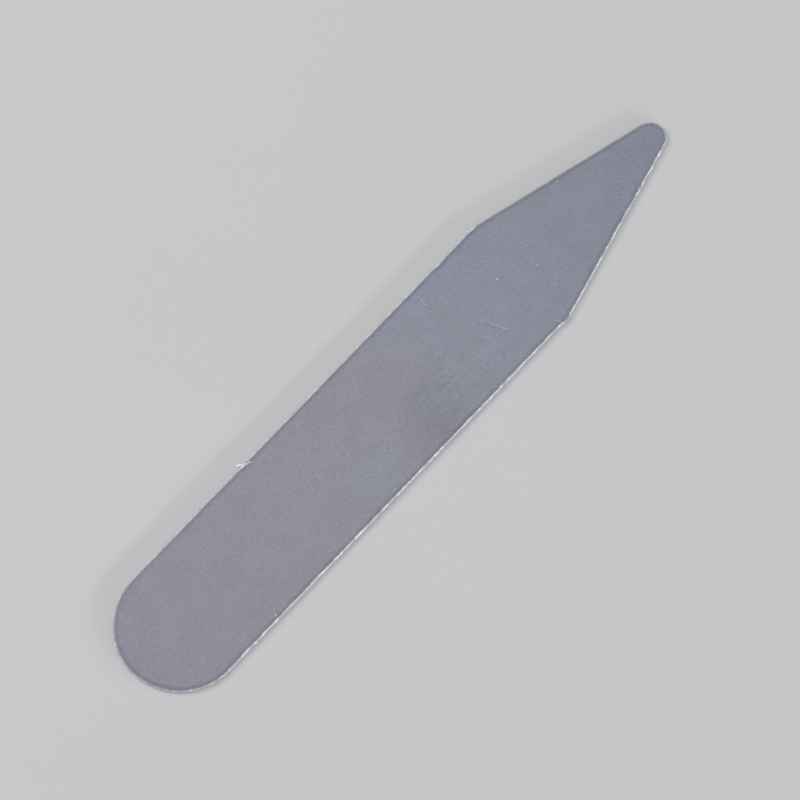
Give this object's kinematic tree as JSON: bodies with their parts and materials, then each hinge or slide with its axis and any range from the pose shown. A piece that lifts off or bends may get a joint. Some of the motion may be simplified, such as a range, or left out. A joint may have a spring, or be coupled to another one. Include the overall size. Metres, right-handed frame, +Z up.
{
  "type": "collar stay",
  "caption": "Flat collar stay of clear satin plastic, with straight long edges, a round end and a long tapered point with a small rounded tip.",
  "frame": {"origin": "middle of the lower face's bounding box, on the surface that the stay lies on", "axes": "+X along the stay towards its pointed tip, +Y across it, +Z up through the sheet"},
  "size_m": [0.0635, 0.011, 0.0005],
  "materials": {
    "clear_plastic": "satin, clear with a faint cool haze"
  },
  "bodies": {
    "root": {"stay": "clear_plastic"}
  },
  "joints": []
}
